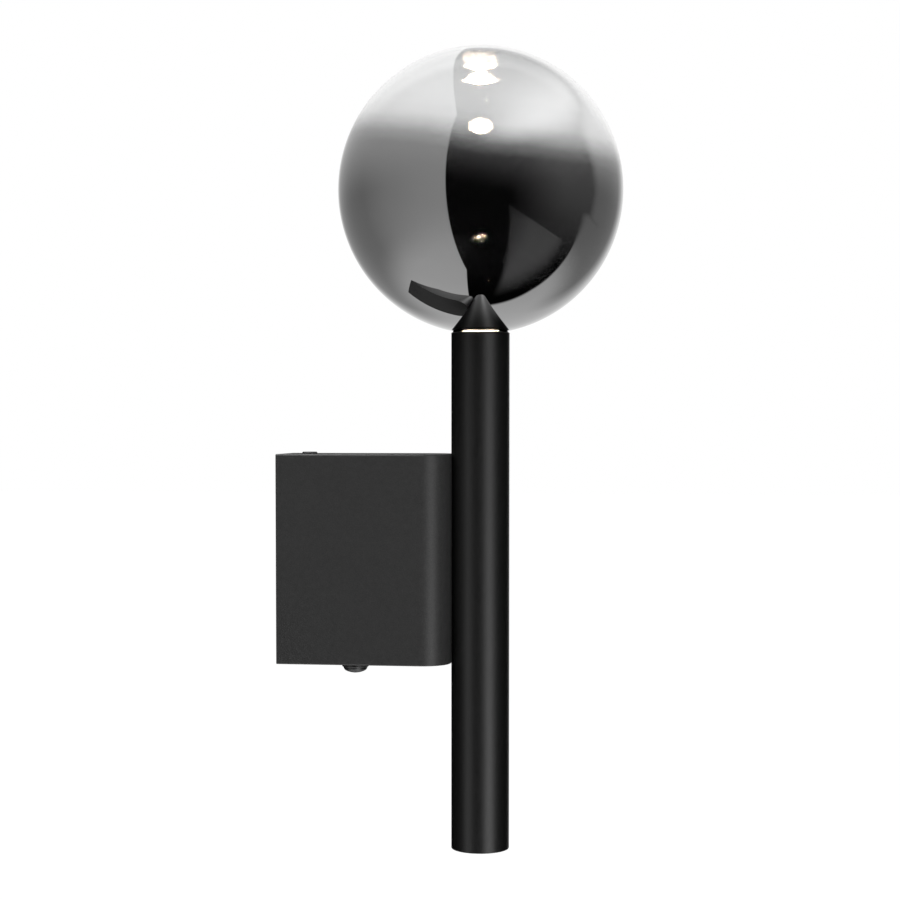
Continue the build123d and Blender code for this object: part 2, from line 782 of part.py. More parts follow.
def driver_post_heights():
    quarter = driver_length / 4
    return [driver_foot_height + quarter, driver_top - quarter]


def driver_lid():
    low = (driver_low_x, driver_face, driver_foot_height)
    lid = block(low, (driver_high_x, driver_face + driver_lid_thickness, driver_top))
    return chamfer(lid.faces().sort_by(Axis.Y)[0].edges(), driver_lid_thickness / 2)


def driver_board():
    margin = driver_wall + driver_board_margin
    low = (driver_low_x + margin, board_face, driver_foot_height + margin)
    return block(low, (driver_high_x - margin, board_back, driver_top - margin))


def driver_transformer():
    half = transformer_size / 2
    middle = (driver_foot_height + driver_top) / 2 + half
    x = driver_x - half
    core = block((x - half, driver_part_face, middle - half), (x + half, board_face, middle + half))
    return fillet(core.edges().filter_by(Axis.Y), transformer_edge_radius)


def driver_capacitor():
    radius = capacitor_diameter / 2
    x = driver_x + radius + driver_part_gap
    middle = (driver_foot_height + driver_top) / 2
    can = disc_y(radius, driver_part_face, board_face, x, middle)
    return fillet(can.edges().group_by(Axis.Y)[0], capacitor_edge_radius)


def driver_terminals():
    half = driver_terminal_width / 2
    blocks = []
    for foot in (low_terminal, high_terminal):
        low = (driver_x - half, driver_part_face, foot)
        blocks.append(block(low, (driver_x + half, board_face, foot + driver_terminal_height)))
    return Compound(children=[piece.solids()[0] for piece in blocks])


def driver_nuts():
    high = inner_side - driver_ear_thickness
    nuts = []
    for height in stud_heights:
        nut = hexagon(stud_nut_flats, stud_nut_height)
        nut -= disc_z(stud_diameter / 2 + slip, -cut_past, stud_nut_height + cut_past)
        nuts.append(Pos(driver_x, high - stud_nut_height, height) * Rot(-90, 0, 0) * nut)
    return Compound(children=[nut.solids()[0] for nut in nuts])


# ---- Earth bond ----
def earth_lug():
    """A ring tag on the box's earth stud, with a crimp barrel that takes the wire from below."""
    tag = disc_y(earth_lug_diameter / 2, -inner_side, earth_face, earth_stud_x, earth_stud_height)
    tag -= disc_y(m4_diameter / 2 + 2 * slip, -inner_side - cut_past, earth_face + cut_past,
                  earth_stud_x, earth_stud_height)
    half = earth_barrel_diameter / 2
    low = (earth_stud_x - half, -inner_side, earth_barrel_top - earth_barrel_lap)
    tag += block(low, (earth_stud_x + half, earth_face, earth_barrel_top + earth_barrel_lap))
    tag += disc_z(half, earth_barrel_bottom, earth_barrel_top, earth_stud_x, earth_barrel_y)
    bore_end = earth_barrel_top - earth_barrel_lap
    return tag - disc_z(wire_radius + slip, earth_barrel_bottom - cut_past, bore_end,
                        earth_stud_x, earth_barrel_y)


def earth_nut():
    nut = hexagon(m4_nut_flats, m4_nut_height)
    nut -= disc_z(m4_diameter / 2 + slip, -cut_past, m4_nut_height + cut_past)
    return Pos(earth_stud_x, earth_face, earth_stud_height) * Rot(-90, 0, 0) * nut


# ---- Wires ----
def live_wire():
    start_z = terminal_bottom + terminal_insertion
    low = terminal_bottom - live_wire_drop
    end_x = button_x - lug_spacing / 2 - lug_thickness / 2 - seat_gap
    return wire([
        (terminal_bore_x, -terminal_pitch, start_z),
        (terminal_bore_x, -terminal_pitch, low),
        (terminal_bore_x + live_wire_run, -terminal_pitch / 2, low),
        (end_x - live_wire_lead_in, 0, lug_middle),
        (end_x, 0, lug_middle),
    ])


def switched_wire():
    start_x = button_x + lug_spacing / 2 + lug_thickness / 2 + seat_gap
    entry_x = driver_wire_entries()[1]
    return wire([
        (start_x, 0, lug_middle),
        (entry_x, 0, lug_middle),
        (entry_x, driver_wire_y, (lug_middle + driver_foot_height) / 2),
        (entry_x, driver_wire_y, low_terminal - wire_end_gap),
    ])


def neutral_wire():
    start_z = terminal_bottom + terminal_insertion
    low = terminal_bottom - neutral_wire_drop
    entry_x = driver_wire_entries()[0]
    return wire([
        (terminal_bore_x, terminal_pitch, start_z),
        (terminal_bore_x, terminal_pitch, low),
        (button_x - neutral_wire_start, driver_wire_y + neutral_wire_bulge, low),
        (entry_x, driver_wire_y, low + neutral_wire_rise),
        (entry_x, driver_wire_y, low_terminal - wire_end_gap),
    ])


def earth_wire():
    start_z = terminal_bottom + terminal_insertion
    low = terminal_bottom - earth_wire_low_drop
    end_z = earth_barrel_top - earth_barrel_lap - wire_end_gap
    return wire([
        (terminal_bore_x, 0, start_z),
        (terminal_bore_x, 0, terminal_bottom - earth_wire_drop),
        (terminal_bore_x + earth_wire_run, -terminal_pitch, low),
        (earth_stud_x, earth_barrel_y, low),
        (earth_stud_x, earth_barrel_y, end_z),
    ])


def led_lead(side):
    """One of the two leads from the driver, through the bush and up the tube to the LED board."""
    start_y = driver_wire_y + side * wire_entry_spacing / 2
    bush_y = side * bush_lead_spacing / 2
    crest = (driver_top + inner_top) / 2
    fall_x = driver_high_x + lead_driver_gap
    rise_x = tube_x + lead_tube_offset
    head_y = side * lead_hole_pitch / 2
    return wire([
        (driver_x, start_y, high_terminal + driver_terminal_height + wire_end_gap),
        (driver_x, start_y, crest),
        (fall_x - lead_turn_run, (start_y + bush_y) / 2, crest),
        (fall_x, bush_y, crest - lead_turn_depth),
        (fall_x, bush_y, 0),
        (rise_x, bush_y, 0),
        (rise_x, bush_y, insert_length / 2),
        (tube_x, head_y, sink_bottom - lead_fan_depth),
        (tube_x, head_y, board_top + lead_end_gap),
    ])


NODES = {
    "wall_box": wall_box,
    "hook_bridge": hook_bridge,
    "lock_screw": lock_screw,
    "wall_bracket": wall_bracket,
    "lock_nut": lock_nut,
    "cable_grommet": cable_grommet,
    "terminal_block": terminal_block,
    "terminal_screws": terminal_screws,
    "terminal_fix_screw": terminal_fix_screw,
    "main_tube": main_tube,
    "tube_end_cap": tube_end_cap,
    "tube_insert": tube_insert,
    "tube_screws": tube_screws,
    "tube_washers": tube_washers,
    "wire_bush": wire_bush,
    "heat_sink": heat_sink,
    "heat_sink_grub": heat_sink_grub,
    "led_board": led_board,
    "led_emitter": led_emitter,
    "board_screws": board_screws,
    "led_diffuser": led_diffuser,
    "globe_glass": globe_glass,
    "globe_seal": globe_seal,
    "button_bezel": button_bezel,
    "button_cap": button_cap,
    "stem_clip": stem_clip,
    "switch_housing": switch_housing,
    "button_spring": button_spring,
    "switch_washer": switch_washer,
    "switch_nut": switch_nut,
    "switch_lugs": switch_lugs,
    "driver_housing": driver_housing,
    "driver_lid": driver_lid,
    "driver_board": driver_board,
    "driver_transformer": driver_transformer,
    "driver_capacitor": driver_capacitor,
    "driver_terminals": driver_terminals,
    "driver_nuts": driver_nuts,
    "earth_lug": earth_lug,
    "earth_nut": earth_nut,
    "live_wire": live_wire,
    "switched_wire": switched_wire,
    "neutral_wire": neutral_wire,
    "earth_wire": earth_wire,
}

os.makedirs("parts", exist_ok=True)
for node, make in NODES.items():
    save(node, make())
save("led_lead_plus", led_lead(1))
save("led_lead_minus", led_lead(-1))
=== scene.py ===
import json
from math import asin, cos, pi, radians, sin

import bpy
import bmesh
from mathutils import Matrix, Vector


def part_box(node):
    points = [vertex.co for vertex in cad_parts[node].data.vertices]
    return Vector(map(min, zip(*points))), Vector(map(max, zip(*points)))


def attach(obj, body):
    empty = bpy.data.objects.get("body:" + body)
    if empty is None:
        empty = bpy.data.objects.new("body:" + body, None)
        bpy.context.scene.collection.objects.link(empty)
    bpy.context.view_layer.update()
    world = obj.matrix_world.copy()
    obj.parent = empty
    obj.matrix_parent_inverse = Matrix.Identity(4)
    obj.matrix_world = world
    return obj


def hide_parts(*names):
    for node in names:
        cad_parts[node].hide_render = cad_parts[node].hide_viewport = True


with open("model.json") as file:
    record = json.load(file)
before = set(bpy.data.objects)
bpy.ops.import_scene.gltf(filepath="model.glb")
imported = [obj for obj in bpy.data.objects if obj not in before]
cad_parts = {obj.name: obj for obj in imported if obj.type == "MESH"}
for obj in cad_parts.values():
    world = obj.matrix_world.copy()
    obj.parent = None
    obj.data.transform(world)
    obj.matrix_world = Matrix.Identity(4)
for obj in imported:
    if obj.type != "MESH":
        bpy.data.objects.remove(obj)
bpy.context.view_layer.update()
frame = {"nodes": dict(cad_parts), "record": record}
nodes = frame["nodes"]
slots = {item["node"]: item["material_slot"] for item in frame["record"]["subparts"]}

# ---- Places from the frame, in metres ----
glass_low, glass_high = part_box("globe_glass")
tube_low, tube_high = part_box("main_tube")
tube_axis = Vector(((tube_low.x + tube_high.x) / 2, 0, 0))
globe_radius = (glass_high.x - glass_low.x) / 2
globe_centre = Vector((tube_axis.x, 0, glass_high.z - globe_radius))
neck_bottom = glass_low.z

# ---- Globe glass ----
GLOBE_WALL = 0.002
NECK_RADIUS = 0.0123
NECK_BORE_RADIUS = 0.0109
GLOBE_TURNS = 224
GLOBE_RINGS = 112
NECK_RINGS = 6

# ---- Camera: a real lens that stands where the photograph was taken ----
CAMERA_PLACE = Vector((0.2175, -0.9797, 0.0703))
CAMERA_YAW = -0.1322
CAMERA_PITCH = -0.0430
PICTURE_SIZE = 900
FOCAL_PIXELS = 1910.9
CENTRE_ROW = 504.5
SENSOR = 36.0


# ---- Node helpers ----
class Graph:
    """Short names for the shader nodes that the materials share."""

    def __init__(self, tree):
        self.tree = tree
        tree.nodes.clear()

    def node(self, kind, **settings):
        made = self.tree.nodes.new("ShaderNode" + kind)
        for key, value in settings.items():
            setattr(made, key, value)
        return made

    def link(self, source, target):
        if isinstance(source, (int, float, tuple)):
            target.default_value = source
        else:
            self.tree.links.new(source, target)

    def math(self, operation, first, second=0.0, third=0.0, clamp=False):
        made = self.node("Math", operation=operation, use_clamp=clamp)
        for socket, value in zip(made.inputs, (first, second, third)):
            self.link(value, socket)
        return made.outputs[0]

    def vector(self, operation, first, second=(0.0, 0.0, 0.0)):
        made = self.node("VectorMath", operation=operation)
        self.link(first, made.inputs[0])
        self.link(second, made.inputs[1])
        return made.outputs["Value"] if operation in ("DOT_PRODUCT", "LENGTH") else made.outputs[0]

    def step(self, value, start, end, low=0.0, high=1.0):
        """A smooth step from low to high as value goes from start to end."""
        made = self.node("MapRange", interpolation_type="SMOOTHSTEP")
        self.link(value, made.inputs["Value"])
        self.link(start, made.inputs["From Min"])
        self.link(end, made.inputs["From Max"])
        self.link(low, made.inputs["To Min"])
        self.link(high, made.inputs["To Max"])
        return made.outputs[0]

    def scaled(self, colour, level):
        """The colour, brighter or darker by level."""
        made = self.node("VectorMath", operation="SCALE")
        self.link(tuple(colour[:3]), made.inputs[0])
        self.link(level, made.inputs["Scale"])
        return made.outputs[0]

    def noise(self, scale, detail=2.0, roughness=0.5, place=None):
        made = self.node("TexNoise")
        made.inputs["Scale"].default_value = scale
        made.inputs["Detail"].default_value = detail
        made.inputs["Roughness"].default_value = roughness
        self.link(place if place else self.place(), made.inputs["Vector"])
        return made.outputs["Fac"]

    def place(self):
        return self.node("TexCoord").outputs["Object"]

    def split(self, vector):
        made = self.node("SeparateXYZ")
        self.link(vector, made.inputs[0])
        return made.outputs

    def curve(self, value, stops):
        """Straight runs between (value, level) stops, in order."""
        made = self.node("ValToRGB")
        low = stops[0][0]
        span = stops[-1][0] - low
        elements = made.color_ramp.elements
        while len(elements) < len(stops):
            elements.new(0.5)
        for element, (at, level) in zip(elements, stops):
            element.position = (at - low) / span
            element.color = (level, level, level, 1.0)
        self.link(self.math("DIVIDE", self.math("SUBTRACT", value, low), span, clamp=True), made.inputs[0])
        return made.outputs[0]

    def bump(self, height, distance, strength=1.0, normal=None):
        made = self.node("Bump")
        made.inputs["Strength"].default_value = strength
        made.inputs["Distance"].default_value = distance
        self.link(height, made.inputs["Height"])
        if normal:
            self.link(normal, made.inputs["Normal"])
        return made.outputs[0]


def grey(level, alpha=1.0):
    return (level, level, level, alpha)


def new_material(name):
    material = bpy.data.materials.new(name)
    material.use_nodes = True
    graph = Graph(material.node_tree)
    shader = graph.node("BsdfPrincipled")
    graph.output = graph.node("OutputMaterial")
    graph.link(shader.outputs[0], graph.output.inputs["Surface"])
    return material, graph, shader


# ---- Painted metal ----
def powder_coat(name, colour, speckle, roughness, specular):
    """Fine-texture powder coat: a pebbled skin of small soft bumps with a little colour speckle."""
    material, graph, shader = new_material(name)
    grain = graph.noise(1500.0, 2.0, 0.6)
    patch = graph.noise(420.0, 3.0, 0.5)
    level = graph.math("MULTIPLY_ADD", graph.math("SUBTRACT", grain, 0.5), speckle, 1.0)
    level = graph.math("MULTIPLY_ADD", graph.math("SUBTRACT", patch, 0.5), 0.35 * speckle, level)
    graph.link(graph.scaled(colour, level), shader.inputs["Base Color"])
    rough = graph.math("MULTIPLY_ADD", graph.math("SUBTRACT", patch, 0.5), 0.12, roughness)
    graph.link(rough, shader.inputs["Roughness"])
    shader.inputs["Specular IOR Level"].default_value = specular
    graph.link(graph.bump(grain, 0.0001, 0.6), shader.inputs["Normal"])
    return material


# ---- Plain materials for the pieces inside ----
def fine_finish(name, colour, roughness, metallic=0.0, grain_scale=900.0, relief=0.00002, variation=0.12):
    material, graph, shader = new_material(name)
    grain = graph.noise(grain_scale, 3.0, 0.55)
    level = graph.math("MULTIPLY_ADD", graph.math("SUBTRACT", grain, 0.5), variation, 1.0)
    graph.link(graph.scaled(colour, level), shader.inputs["Base Color"])
    rough = graph.math("MULTIPLY_ADD", graph.math("SUBTRACT", grain, 0.5), 0.2, roughness)
    graph.link(rough, shader.inputs["Roughness"])
    shader.inputs["Metallic"].default_value = metallic
    graph.link(graph.bump(grain, relief, 0.5), shader.inputs["Normal"])
    return material


def lit_diffuser():
    """The opal cup and dome over the LED: the dome glows above the tube's mouth, with a hot core over the chip."""
    material, graph, shader = new_material("opal_diffuser")
    x, y, height = graph.split(graph.place())
    glow = graph.step(height, tube_high.z - 0.004, tube_high.z + 0.0005, CUP_GLOW, DOME_GLOW)
    x_off = graph.math("SUBTRACT", x, tube_axis.x)
    off_axis = graph.math("SQRT", graph.math("MULTIPLY_ADD", x_off, x_off, graph.math("MULTIPLY", y, y)))
    core = graph.math("POWER", graph.step(off_axis, CORE_REACH, 0.001), CORE_FALL)
    core = graph.math("MULTIPLY", core, graph.step(height, tube_high.z + 0.004, tube_high.z + 0.006))
    glow = graph.math("MULTIPLY_ADD", core, CORE_GLOW, glow)
    shader.inputs["Base Color"].default_value = (0.92, 0.9, 0.85, 1.0)
    shader.inputs["Roughness"].default_value = 0.6
    shader.inputs["Emission Color"].default_value = (1.0, 0.80, 0.58, 1.0)
    graph.link(glow, shader.inputs["Emission Strength"])
    return material


DOME_GLOW = 220.0
CUP_GLOW = 3.0
CORE_GLOW = 30000.0
CORE_REACH = 0.0085
CORE_FALL = 4.0


def clear_glass():
    material, graph, shader = new_material("clear_glass")
    shader.inputs["Base Color"].default_value = (0.985, 0.99, 0.99, 1.0)
    shader.inputs["Roughness"].default_value = 0.0
    shader.inputs["IOR"].default_value = 1.5
    shader.inputs["Transmission Weight"].default_value = 1.0
    return material


def mirrored_glass():
    """Clear glass under a chrome film that thins out upwards, along an axis that leans a little off the upright."""
    material, graph, shader = new_material("mirror_coated_glass")
    from_middle = graph.vector("SUBTRACT", graph.place(), tuple(globe_centre))
    lean = radians(FILM_LEAN)
    height = graph.vector("DOT_PRODUCT", from_middle, (sin(lean), 0.0, cos(lean)))
    swell = graph.curve(graph.split(from_middle)[0], FILM_SWELL)
    height = graph.math("ADD", height, graph.math("SUBTRACT", swell, FILM_LEVEL))
    cloud = graph.noise(16.0, 3.0, 0.5)
    height = graph.math("MULTIPLY_ADD", graph.math("SUBTRACT", cloud, 0.5), FILM_WOBBLE, height)
    through = graph.curve(height, FILM_THROUGH)
    back = graph.curve(height, FILM_BACK)
    # The shader lets the root of its base colour through. Base and metal shares follow from what is wanted.
    root = graph.math("SQRT", graph.math("MULTIPLY_ADD", through, through, graph.math("MULTIPLY", back, 4.0)))
    root = graph.math("MULTIPLY", graph.math("ADD", root, through), 0.5)
    base = graph.math("MULTIPLY", root, root)
    graph.link(graph.math("DIVIDE", back, base), shader.inputs["Metallic"])
    graph.link(base, shader.inputs["Base Color"])
    shader.inputs["Roughness"].default_value = 0.0
    shader.inputs["IOR"].default_value = 1.5
    shader.inputs["Transmission Weight"].default_value = 1.0
    return material


FILM_LEAN = 8.5
FILM_WOBBLE = 0.003
# The film's edge waves. Place across in metres, and how far the edge dips there below its highest level.
FILM_LEVEL = 0.004
FILM_SWELL = (
    (-0.075, 0.0022),
    (-0.060, 0.0034),
    (-0.020, 0.0040),
    (0.0, 0.0053),
    (0.012, 0.0060),
    (0.026, 0.0047),
    (0.039, 0.0035),
    (0.060, 0.0010),
    (0.075, 0.0),
)
# Height above the globe's middle in metres, and the share of light that the film lets through there.
FILM_THROUGH = (
    (-0.060, 0.0),
    (-0.050, 0.001),
    (-0.044, 0.025),
    (-0.030, 0.050),
    (-0.018, 0.045),
    (0.001, 0.036),
    (0.006, 0.042),
    (0.0115, 0.055),
    (0.017, 0.200),
    (0.022, 0.470),
    (0.0275, 0.710),
    (0.0335, 0.810),
    (0.040, 0.860),
    (0.050, 0.880),
)
# Height, and the share that it throws back.
FILM_BACK = (
    (-0.060, 0.260),
    (-0.040, 0.215),
    (-0.015, 0.185),
    (0.012, 0.185),
    (0.026, 0.130),
    (0.036, 0.080),
    (0.050, 0.055),
)


def silicone():
    material, graph, shader = new_material("clear_silicone")
    cloud = graph.noise(300.0, 2.0, 0.5)
    shader.inputs["Base Color"].default_value = (0.96, 0.96, 0.95, 1.0)
    graph.link(graph.math("MULTIPLY_ADD", cloud, 0.04, 0.02), shader.inputs["Roughness"])
    shader.inputs["IOR"].default_value = 1.41
    shader.inputs["Transmission Weight"].default_value = 1.0
    smoke = graph.node("VolumeAbsorption")
    smoke.inputs["Color"].default_value = grey(0.0)
    smoke.inputs["Density"].default_value = SMOKE_DENSITY
    graph.link(smoke.outputs[0], graph.output.inputs["Volume"])
    return material


SMOKE_DENSITY = 2050.0


# ---- The globe: a blown shell turned around the tube's axis ----
def globe_outline():
    """The glass wall's outline as (radius, height), out and up over the top and back down inside."""
    inner_radius = globe_radius - GLOBE_WALL
    outer_start = asin(NECK_RADIUS / globe_radius)
    inner_start = asin(NECK_BORE_RADIUS / inner_radius)
    outer_join = globe_centre.z - globe_radius * cos(outer_start)
    inner_join = globe_centre.z - inner_radius * cos(inner_start)
    points = []
    for index in range(NECK_RINGS):
        share = index / NECK_RINGS
        points.append((NECK_RADIUS, neck_bottom + share * (outer_join - neck_bottom), "clear"))
    for index in range(GLOBE_RINGS + 1):
        angle = outer_start + (pi - outer_start) * index / GLOBE_RINGS
        points.append((globe_radius * sin(angle), globe_centre.z - globe_radius * cos(angle), "film"))
    for index in range(GLOBE_RINGS + 1):
        angle = pi + (inner_start - pi) * index / GLOBE_RINGS
        points.append((inner_radius * sin(angle), globe_centre.z - inner_radius * cos(angle), "clear"))
    for index in range(NECK_RINGS + 1):
        share = index / NECK_RINGS
        points.append((NECK_BORE_RADIUS, inner_join + share * (neck_bottom - inner_join), "clear"))
    return points


def turn(name, outline, turns):
    """Turns an open outline once around the tube's axis. Points on the axis become single vertices."""
    mesh = bpy.data.meshes.new(name)
    shape = bmesh.new()
    rings = []
    for radius, height, kind in outline:
        if radius < 1e-7:
            rings.append([shape.verts.new((tube_axis.x, 0, height))])
            continue
        ring = []
        for index in range(turns):
            angle = 2 * pi * index / turns
            ring.append(shape.verts.new((tube_axis.x + radius * cos(angle), radius * sin(angle), height)))
        rings.append(ring)
    film_faces = []
    loop = list(zip(rings, rings[1:], outline, outline[1:])) + [(rings[-1], rings[0], outline[-1], outline[0])]
    for lower, upper, first, second in loop:
        if len(lower) == 1 and len(upper) == 1:
            continue
        for index in range(turns):
            after = (index + 1) % turns
            corners = [lower[index % len(lower)], lower[after % len(lower)],
                       upper[after % len(upper)], upper[index % len(upper)]]
            corners = list(dict.fromkeys(corners))
            face = shape.faces.new(corners)
            face.smooth = True
            if first[2] == "film" and second[2] == "film":
                face.material_index = 1
    shape.normal_update()
    bmesh.ops.recalc_face_normals(shape, faces=shape.faces)
    shape.to_mesh(mesh)
    shape.free()
    made = bpy.data.objects.new(name, mesh)
    bpy.context.scene.collection.objects.link(made)
    return made


globe = turn("globe_shell", globe_outline(), GLOBE_TURNS)
globe.data.materials.append(clear_glass())
globe.data.materials.append(mirrored_glass())
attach(globe, "lamp")
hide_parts("globe_glass")

# ---- Materials on the carried-over pieces ----
materials = {
    "box_powder_coat": powder_coat("box_powder_coat", grey(0.038), 0.8, 0.40, 0.34),
    "tube_powder_coat": powder_coat("tube_powder_coat", grey(0.006), 0.35, 0.40, 0.50),
    "clear_silicone": silicone(),
    "opal_plastic": lit_diffuser(),
    "phosphor": fine_finish("phosphor", (0.9, 0.75, 0.2), 0.6),
    "white_board": fine_finish("white_board", (0.85, 0.86, 0.84), 0.3),
    "aluminium": fine_finish("aluminium", (0.72, 0.73, 0.74), 0.32, metallic=1.0),
    "zinc_steel": fine_finish("zinc_steel", (0.62, 0.63, 0.62), 0.35, metallic=1.0),
    "black_steel": fine_finish("black_steel", (0.02, 0.02, 0.021), 0.4),
    "button_black": fine_finish("button_black", (0.02, 0.02, 0.021), 0.42, relief=0.000006),
    "black_rubber": fine_finish("black_rubber", (0.025, 0.025, 0.026), 0.7),
    "white_nylon": fine_finish("white_nylon", (0.8, 0.8, 0.77), 0.45),
    "brass": fine_finish("brass", (0.76, 0.6, 0.3), 0.3, metallic=1.0),
    "case_grey": fine_finish("case_grey", (0.62, 0.63, 0.62), 0.5),
    "board_green": fine_finish("board_green", (0.03, 0.2, 0.07), 0.3),
    "tape_yellow": fine_finish("tape_yellow", (0.8, 0.6, 0.12), 0.4),
    "capacitor_sleeve": fine_finish("capacitor_sleeve", (0.03, 0.035, 0.05), 0.3),
    "wire_brown": fine_finish("wire_brown", (0.14, 0.06, 0.03), 0.45),
    "wire_blue": fine_finish("wire_blue", (0.03, 0.12, 0.4), 0.45),
    "wire_green": fine_finish("wire_green", (0.15, 0.4, 0.06), 0.45),
    "wire_red": fine_finish("wire_red", (0.4, 0.02, 0.02), 0.45),
    "wire_black": fine_finish("wire_black", (0.02, 0.02, 0.02), 0.45),
}
# The switch's bezel is painted with the box.
painted = {"button_bezel": "box_powder_coat"}
for name, node in nodes.items():
    if name == "globe_glass":
        continue
    node.data.materials.clear()
    node.data.materials.append(materials[painted.get(name, slots[name])])


# ---- Studio ----
def studio_band(graph, value, low, high, soft):
    """1 between low and high, 0 outside, with soft edges of that width."""
    rise = graph.step(value, low - soft / 2, low + soft / 2)
    fall = graph.step(value, high - soft / 2, high + soft / 2, 1.0, 0.0)
    return graph.math("MULTIPLY", rise, fall)


def studio_panel(graph, azimuth, elevation, panel):
    across = studio_band(graph, azimuth, panel["from"], panel["to"], panel["soft"])
    along = studio_band(graph, elevation, panel["low"], panel["high"], panel.get("end_soft", panel["soft"]))
    return graph.math("MULTIPLY", graph.math("MULTIPLY", across, along), panel["level"])


def studio_sum(graph, azimuth, elevation, panels):
    total = 0.0
    for panel in panels:
        total = graph.math("ADD", studio_panel(graph, azimuth, elevation, panel), total)
    return total


# What the mirror and the clear glass see. Lengths are shares of the camera's distance in front of the lamp.
CLOTH_HALF_WIDTH = 0.38
CLOTH_LEVEL = 0.003
CEILING_HEIGHT = 1.5
FLOOR_DEPTH = 2.9
CLOTH_BEHIND = 0.37
RIGHT_EDGE = (100.0, 128.0)
# Azimuth, and how bright the paper is at eye level there.
PAPER_LEVELS = (
    (-180.0, 1.0),
    (-165.0, 1.0),
    (-150.0, 0.52),
    (-121.0, 0.48),
    (-102.0, 0.50),
    (-75.0, 0.75),
    (-45.0, 0.93),
    (-25.0, 1.0),
    (60.0, 0.42),
    (150.0, 0.42),
    (165.0, 1.0),
    (180.0, 1.0),
)


def mirror_studio(graph, x, y, z, azimuth, elevation):
    """White paper left, behind and under the lamp, round a black cloth before and over it."""
    front = graph.math("MULTIPLY", y, -1.0)
    below = graph.math("MULTIPLY", z, -1.0)
    # The paper is dimmer at eye level on both sides and brightest on the floor.
    eye_level = studio_band(graph, elevation, -38.0, 12.0, 26.0)
    missing = graph.math("SUBTRACT", 1.0, graph.curve(azimuth, PAPER_LEVELS))
    paper = graph.math("SUBTRACT", 1.0, graph.math("MULTIPLY", missing, eye_level))
    paper = graph.math("MULTIPLY", paper, graph.step(z, -0.25, -0.95, 1.0, 1.18))
    # The cloth's left edge runs up the front, over the top and away behind.
    reach = graph.math("MAXIMUM", front, graph.math("DIVIDE", z, CEILING_HEIGHT))
    reach = graph.math("MAXIMUM", reach, graph.math("DIVIDE", below, FLOOR_DEPTH))
    across = graph.math("DIVIDE", x, graph.math("MAXIMUM", reach, 0.001))
    left = graph.step(across, -CLOTH_HALF_WIDTH + 0.012, -CLOTH_HALF_WIDTH - 0.012)
    # Its right edge lies far round to the side and is soft, and on the floor it ends a little behind the lamp.
    right = graph.math("MULTIPLY", graph.step(azimuth, *RIGHT_EDGE), graph.step(z, 0.75, 0.40))
    right = graph.math("MULTIPLY", right, graph.step(z, -0.38, -0.24))
    floor_across = graph.math("DIVIDE", x, graph.math("MAXIMUM", below, 0.001))
    floor_front = graph.math("DIVIDE", front, graph.math("MAXIMUM", below, 0.001))
    slant = graph.math("MAXIMUM", graph.math("SUBTRACT", floor_across, 0.5), 0.0)
    floor_edge = graph.math("MULTIPLY_ADD", slant, 0.1, graph.math("ADD", floor_front, CLOTH_BEHIND))
    # The floor's edge is sharp up to the sheet's far side and softer beyond it.
    softness = graph.math("MAXIMUM", graph.math("MULTIPLY", graph.math("SUBTRACT", floor_across, 1.5), 0.25), 0.035)
    edge_end = graph.math("MULTIPLY", softness, -1.0)
    floor = graph.math("MULTIPLY", graph.step(floor_edge, softness, edge_end), graph.step(z, -0.12, -0.24))
    # Overhead the paper shows softly on the right.
    overhead = graph.math("DIVIDE", x, graph.math("MAXIMUM", z, 0.001))
    overhead = graph.math("MULTIPLY", graph.step(overhead, 0.0, 0.9), graph.step(z, 0.45, 0.75, 0.0, 1.45))
    behind = graph.math("MULTIPLY", graph.step(y, 0.15, 0.45), graph.step(z, 0.75, 0.45))
    behind = graph.math("MULTIPLY", behind, graph.step(z, -0.30, -0.18))
    lit = graph.math("MAXIMUM", graph.math("MAXIMUM", left, right), graph.math("MAXIMUM", floor, behind))
    level = graph.math("MULTIPLY", graph.math("MAXIMUM", lit, overhead), paper)
    # A dim sheet on the floor before the lamp, with a straight edge on its right.
    sheet = graph.math("MULTIPLY", graph.step(floor_across, 1.68, 1.62), graph.step(floor_front, -0.25, 0.20))
    ray_side = graph.math("MULTIPLY_ADD", floor_front, -0.5, floor_across)
    sheet = graph.math("MULTIPLY", sheet, graph.step(ray_side, 0.14, 0.26))
    sheet = graph.math("MULTIPLY", sheet, graph.step(z, -0.2, -0.3))
    sheet_level = graph.step(azimuth, 30.0, 60.0, 0.05, 0.18)
    level = graph.math("MAXIMUM", level, graph.math("MULTIPLY", sheet, sheet_level))
    # A faint glow on the right, half way round.
    glow = graph.math("MULTIPLY", graph.step(azimuth, 26.0, 84.0), graph.step(elevation, -46.0, 6.0))
    level = graph.math("MAXIMUM", level, graph.math("MULTIPLY", glow, 0.22))
    return graph.math("MAXIMUM", level, CLOTH_LEVEL)


# What the paint sees: soft panels. Azimuth 0 looks from the lamp to -Y and grows towards +X. Degrees.
PAINT_PANELS = (
    {"from": 27, "to": 58, "soft": 16, "low": -120, "high": 0, "end_soft": 40, "level": 3.9},
    {"from": -56, "to": -30, "soft": 16, "low": -60, "high": -2, "end_soft": 30, "level": 1.6},
    {"from": 160, "to": 190, "soft": 20, "low": -60, "high": 60, "end_soft": 20, "level": 1.0},
    {"from": -260, "to": 260, "soft": 10, "low": 45, "high": 120, "end_soft": 30, "level": 4.0},
    {"from": -260, "to": 260, "soft": 10, "low": -120, "high": -55, "end_soft": 30, "level": 1.6},
)


